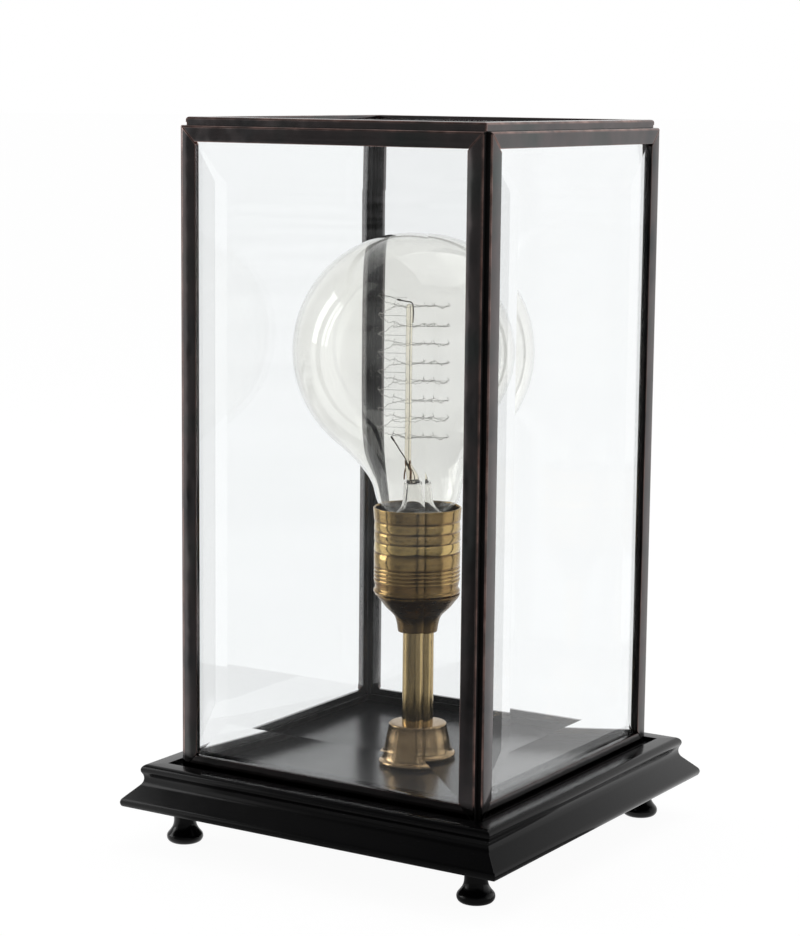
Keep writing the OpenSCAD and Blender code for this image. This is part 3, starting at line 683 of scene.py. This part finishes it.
def make_filament():
    """Filament, its hooks, the lead to each end of it, and the leads' seals in the pinch."""
    last = COIL_START + 360 * COIL_TURNS
    steps = int(COIL_TURNS * 90)
    route = [coil_point(COIL_START + 360 * COIL_TURNS * i / steps) for i in range(steps + 1)]
    piece("coiled_filament", wires([route], 0.12, 1, 1), FILAMENT, "bulb",
          ("bulb_filament",))
    hooks = []
    angle = RIGHT_HOOK - HOOK_STEP * ((RIGHT_HOOK - COIL_START) // HOOK_STEP)
    while angle < last:
        z = coil_point(angle).z
        hooks.append([round_rod(angle, r, z + rise) for r, rise in
                      ((1.3, -0.6), (coil_r - 2, -0.4), (coil_r + 0.1, -0.4), (coil_r + 0.5, 0),
                       (coil_r + 0.1, 0.4), (coil_r - 0.7, 1.4))])
        angle += HOOK_STEP
    piece("filament_hooks", wires(hooks, 0.1, 1, 3), HOOK_WIRE, "bulb",
          ("bulb_supports",))

    left = -TOWARDS_RIGHT
    first, end = route[0], route[-1]
    top = rod_axis + Vector((0, 0, mount_top))
    pinch = rod_axis + Vector((0, 0, land_z + 158))
    over_top = [top + s * left + Vector((0, 0, up)) for s, up in
                ((-1.9, -10), (-1.95, -2), (-1.2, 0.5), (1.5, 1.2), (4.2, 1.7), (6.4, 2.2))]
    tip = over_top[-1]
    leads = wires([[pinch + Vector((0.9, 0.6, -4)), pinch + Vector((0, 0, -1)),
                    pinch.lerp(first, 0.12), pinch.lerp(first, 0.5), first], over_top],
                  0.34, 2, 6)
    clamps = wires([[first.lerp(pinch, 0.16), first],
                    [tip - 1.8 * left - Vector((0, 0, 0.4)), tip]], 0.52, 2, 2)
    tail = wires([[tip, tip.lerp(end, 0.5) + Vector((0, 0, 0.6)), end]], 0.13, 1, 4)
    piece("lead_wires", join(leads, clamps, tail), WIRE, "bulb", ("bulb_leads",))
    seals = wires([[pinch + side * s * left + Vector((0, 0, up)) for s, up in
                    ((1.9, -9), (1.6, -5), (0.7, -1), (0.9, 1.2))] for side in (-1, 1)],
                  0.4, 2, 4)
    piece("lead_seals", seals, SEAL, "bulb")


# ------------------------------------------------------------------ case


EDGE_ROUND, LIP_ROUND = 1.5, 0.4     # roundings of a bar's outer edge and of its lip
MITRE_BEVEL, MITRE_STRIP = 0.22, 1.2     # at a bar's ends: the bevel, and a strip of faces
MITRE_RUBBED, MITRE_WEAR = 0.4, 0.8      # how far in from there it is rubbed, and how much
INSIDE_DEPTH, INSIDE_FROM = 3.1, 3       # depth and distance in, past which a bar is dull
UPRIGHT_WIDER, NEAR_WIDER = 0.8, 1.6     # uprights against level bars; right of the near corner
NOTCH_SHADE_FROM, NEAR_NOTCH_SHADE_FROM = 1.6, 0.6   # depth from which the corner notches are painted dark as shade; at the near corner higher, on the rounding


def came_section(kind, wide):
    """A bar's section: (distance in from the panel's edge, depth below its face). The lip behind
    the pane is narrower than the one in front."""
    slot_x, slot_top, slot_low, back_lip = came_w - 4.1, 3.0, 6.7, came_w - 2.9
    inner_side = [(0, 0), (wide, 0), (wide, slot_top), (slot_x, slot_top), (slot_x, slot_low),
                  (back_lip, slot_low), (back_lip, came_t)]
    if kind == "side":
        return inner_side + [(came_t - corner_gap, came_t), (0, corner_gap)]
    step, brim = 0.3, 2.8               # the lid's brim over the side panels
    return inner_side + [(3.1, came_t), (step, came_t - brim), (step, brim), (0, brim)]


def came_bar(kind, long, wide, notch_shade_from):
    """A mitred bar along X, its outer edge on Y = 0 and its face up at Z = 0, with its edges
    rounded and marked as worn. Its side in the notch at the case's corner is painted dark from a
    depth on, as shade in the notch; what faces into the case is dull and nearly black."""
    bm = bmesh.new()
    verts = [bm.verts.new((0, x, -depth)) for x, depth in came_section(kind, wide)]
    face = bm.faces.new(verts)
    drawn = bmesh.ops.extrude_face_region(bm, geom=[face])["geom"]
    bmesh.ops.translate(bm, verts=[v for v in drawn if isinstance(v, bmesh.types.BMVert)],
                        vec=(long, 0, 0))
    bmesh.ops.recalc_face_normals(bm, faces=bm.faces)
    roundings = ((0, EDGE_ROUND, 6), (wide, LIP_ROUND, 3))
    for y, size, segments in roundings:
        edge = [e for e in bm.edges if all(abs(v.co.y - y) < 0.01 and abs(v.co.z) < 0.01
                                           for v in e.verts)]
        bmesh.ops.bevel(bm, geom=edge, offset=size, offset_type="OFFSET", segments=segments,
                        profile=0.5, affect="EDGES", material=-1)
    for end, outwards in ((0, (-1, 1, 0)), (long, (1, 1, 0))):
        geom = bm.verts[:] + bm.edges[:] + bm.faces[:]
        cut = bmesh.ops.bisect_plane(bm, geom=geom, dist=0.0001, plane_co=(end, 0, 0),
                                     plane_no=outwards, clear_outer=True)
        rim = [e for e in cut["geom_cut"] if isinstance(e, bmesh.types.BMEdge)]
        cap = bmesh.ops.edgeloop_fill(bm, edges=rim)["faces"]
        side = -1 if end else 1
        geom = bm.verts[:] + bm.edges[:] + bm.faces[:]
        bmesh.ops.bisect_plane(bm, geom=geom, dist=0.0001, plane_no=outwards,
                               plane_co=(end + side * MITRE_STRIP, 0, 0))
        rim = [e for f in cap if f.is_valid for e in f.edges]
        bmesh.ops.bevel(bm, geom=rim, offset=MITRE_BEVEL, offset_type="OFFSET",
                        segments=1, profile=0.5, affect="EDGES", material=-1)
    bmesh.ops.recalc_face_normals(bm, faces=bm.faces)
    worn = bm.verts.layers.float.new("worn")
    for v in bm.verts:
        share = 0.0
        for y, size, _ in roundings:
            a, b = size - abs(v.co.y - y), size + v.co.z
            if a > -0.001 and b > -0.001 and abs(v.co.y - y) <= size + 0.001:
                share = max(share, 1 - abs(atan2(max(b, 0), max(a, 1e-6)) - pi / 4) / (pi / 4))
        from_mitre = min(v.co.x - v.co.y, long - v.co.y - v.co.x) / 2 ** 0.5
        v[worn] = max(share, MITRE_WEAR if from_mitre < MITRE_RUBBED else 0.0)
    for face in bm.faces:
        depth, across = -face.calc_center_median().z, face.calc_center_median().y
        inside = depth > INSIDE_DEPTH and across > INSIDE_FROM
        # Painted shade: a bar's side in the corner notch takes the near-black finish from a depth
        # on.
        notch = kind == "side" and depth > notch_shade_from and across < corner_gap
        face.material_index = 1 if inside or notch else 0
    return bm


BAR_TURNS = {"bottom": 0, "top": 180, "left": -90, "right": 90}
LID_BARS = {"bottom": "front", "top": "back"}


def make_panel(name, kind, width, height, place):
    """The four bars of a panel, drawn flat round the origin and then put in place."""
    for at, degrees in BAR_TURNS.items():
        upright = kind == "side" and at in ("left", "right")
        long, across = (height, width) if at in ("left", "right") else (width, height)
        near = (name, at) in (("front", "right"), ("right", "left"))
        wider = NEAR_WIDER if near and name == "right" else UPRIGHT_WIDER if upright else 0
        bar = came_bar(kind, long, came_w + wider, NEAR_NOTCH_SHADE_FROM if near else NOTCH_SHADE_FROM)
        bmesh.ops.translate(bar, verts=bar.verts, vec=(-long / 2, -across / 2, 0))
        turn = Matrix.Rotation(radians(degrees), 4, "Z")
        bmesh.ops.transform(bar, verts=bar.verts, matrix=place @ turn)
        edge = LID_BARS.get(at, at) if kind == "lid" else at
        piece(f"{name}_came_{edge}", bar, (DARK_BRONZE, DULL_BRONZE_AND_NOTCH_SHADE), "case",
              (f"{name}_{edge}_bar",), 30)


def make_front_pane():
    """A flat back and four bevels on the face; the flat field sits a little to the left."""
    low, high = span("front_glass")
    edge_t, bevel_w = 3.2, 25
    field = {"left": -61.3, "right": 57.9, "bottom": low.z + 23.6, "top": high.z - 25}
    bm = bmesh.new()
    bmesh.ops.create_cube(bm, size=1)
    size = Vector((high.x - low.x, edge_t, high.z - low.z))
    bmesh.ops.scale(bm, verts=bm.verts, vec=size)
    bmesh.ops.translate(bm, verts=bm.verts, vec=(0, high.y - edge_t / 2, (low.z + high.z) / 2))
    face = min(bm.faces, key=lambda f: f.calc_center_median().y)
    bmesh.ops.inset_region(bm, faces=[face], thickness=bevel_w, use_even_offset=True)
    for v in face.verts:
        v.co = (field["left"] if v.co.x < 0 else field["right"], low.y,
                field["bottom"] if v.co.z < (low.z + high.z) / 2 else field["top"])
    piece("front_pane", bm, PANE_GLASS, "case", ("front_glass",), 1)


def make_case():
    middle = (panel_low.z + case_top) / 2
    for name, degrees in (("front", 0), ("right", 90), ("back", 180), ("left", 270)):
        stand = Matrix.Rotation(radians(degrees), 4, "Z") \
            @ Matrix.Translation((0, front_face, middle)) @ Matrix.Rotation(radians(90), 4, "X")
        make_panel(name, "side", panel_w, panel_h, stand)
    make_panel("top", "lid", lid_w, lid_w, Matrix.Translation((0, 0, lid_z)))
    dress(PANE_GLASS, "right_glass", "back_glass", "left_glass", "top_glass")
    make_front_pane()


# ------------------------------------------------------------------ studio


# What metal and glass mirror: brightness by azimuth, in degrees from the front and positive to
# the right. There is a pale backdrop behind the lamp, a lit wall at its right, a window at its
# left, and a dim room on the camera's side.
WALLS = [(-180, 1.0), (-112, 0.95), (-98, 0.5), (-86, 0.5), (-79, 1.15), (-41, 1.15),
         (-37, 0.24), (28, 0.24), (60, 0.3), (99, 0.36), (106, 1.15), (150, 1.1), (180, 1.0)]
CEILING = [(-180, 0.7), (-112, 0.6), (-98, 0.3), (-86, 0.3), (-79, 0.3), (-45, 0.12),
           (-37, 0.08), (28, 0.06), (60, 0.08), (99, 0.12), (106, 0.5), (150, 0.6), (180, 0.7)]
FLOOR = [(-180, 1.0), (-112, 0.95), (-98, 0.45), (-86, 0.45), (-79, 1.15), (-41, 1.15),
         (-37, 0.18), (28, 0.15), (60, 0.2), (99, 0.26), (106, 1.1), (150, 1.1), (180, 1.0)]
FLOOR_GLOW = 1.08                   # strength of the floor's own white
SEEN_GLOW, MIRRORED_GLOW = 0.88, 0.9     # its share; the rest is lit, and takes the shadow


def around(tree, direction, stops):
    """A brightness by azimuth about the lamp."""
    parts = add(tree, "SeparateXYZ", {0: direction}).outputs
    azimuth = math(tree, "ARCTAN2", parts[0], math(tree, "MULTIPLY", parts[1], -1.0))
    return ramp(tree, fade(tree, azimuth, -pi, pi),
                [(turn / 360 + 0.5, (light, light, light)) for turn, light in stops])


def shown_white(tree):
    """1 for rays from the camera, also through glass, which show the background white; and 1 for
    those that come off metal or glass first."""
    path = add(tree, "LightPath").outputs
    mirrored = math(tree, "GREATER_THAN", path["Glossy Depth"], 0.5)
    straight = math(tree, "MULTIPLY", path["Is Transmission Ray"],
                    math(tree, "SUBTRACT", 1.0, mirrored))
    metal = math(tree, "MULTIPLY", mirrored,
                 math(tree, "MAXIMUM", path["Is Glossy Ray"], path["Is Transmission Ray"]))
    return math(tree, "MAXIMUM", path["Is Camera Ray"], straight), metal


def make_floor():
    """A round white floor, which metal sees as the room's floor, uneven where that is dim."""
    bm = bmesh.new()
    bmesh.ops.create_circle(bm, cap_ends=True, segments=96, radius=30)
    mesh = bpy.data.meshes.new("studio_floor")
    bm.to_mesh(mesh)
    bm.free()
    floor = bpy.data.objects.new("studio_floor", mesh)
    bpy.context.scene.collection.objects.link(floor)
    material, tree, shader = new_material("white_floor", Roughness=0.9, Specular_IOR_Level=0.0)
    shader.inputs["Base Color"].default_value = (0.85, 0.85, 0.85, 1)
    seen, glossy = shown_white(tree)
    ring = around(tree, add(tree, "TexCoord").outputs["Object"], FLOOR)
    uneven = fade(tree, noise(tree, 2.4, 2), 0.38, 0.62, 0.25, 1.9)
    clutter = math(tree, "MULTIPLY", ring, uneven)
    ring = mix(tree, math(tree, "GREATER_THAN", ring, 0.6), clutter, ring)
    colour = mix(tree, glossy, (1, 1, 1), ring)
    glow = add(tree, "Emission", {"Color": colour, "Strength": FLOOR_GLOW})
    share = math(tree, "MAXIMUM", math(tree, "MULTIPLY", seen, SEEN_GLOW),
                 math(tree, "MULTIPLY", glossy, MIRRORED_GLOW))
    both = add(tree, "MixShader", {0: share, 1: shader.outputs[0], 2: glow.outputs[0]})
    tree.links.new(both.outputs[0], tree.nodes["Material Output"].inputs["Surface"])
    mesh.materials.append(material)
    floor.location.z = -0.0002


def make_world():
    """White to the camera, also through glass; to metal the backdrop and the dim room; and two
    soft lamps, at the left and above the back."""
    world = bpy.data.worlds.new("studio")
    world.use_nodes = True
    bpy.context.scene.world = world
    tree = world.node_tree
    background = tree.nodes["Background"]
    direction = add(tree, "TexCoord").outputs["Generated"]
    height = add(tree, "SeparateXYZ", {0: direction}).outputs[2]
    room = mix(tree, fade(tree, height, 0.3, 0.6), around(tree, direction, WALLS),
               around(tree, direction, CEILING))
    seen, glossy = shown_white(tree)
    backdrop = math(tree, "MULTIPLY", glossy, math(tree, "GREATER_THAN", room, 0.9))
    strength = math(tree, "MAXIMUM", room, math(tree, "MAXIMUM", seen, backdrop))
    tree.links.new(strength, background.inputs["Strength"])
    background.inputs["Color"].default_value = (1, 1, 1, 1)
    softbox("key_left", azimuth=-68, elevation=20, distance=1.85, width=0.85, height=1.05,
            radiance=3.0)
    softbox("top_back", azimuth=150, elevation=70, distance=1.6, width=1.2, height=1.2,
            radiance=1.0)


make_camera()
make_world()
make_floor()
make_base()
make_stem()
make_holder()
make_globe()
make_mount()
make_filament()
make_case()

scene = bpy.context.scene
scene.view_settings.view_transform = "Standard"
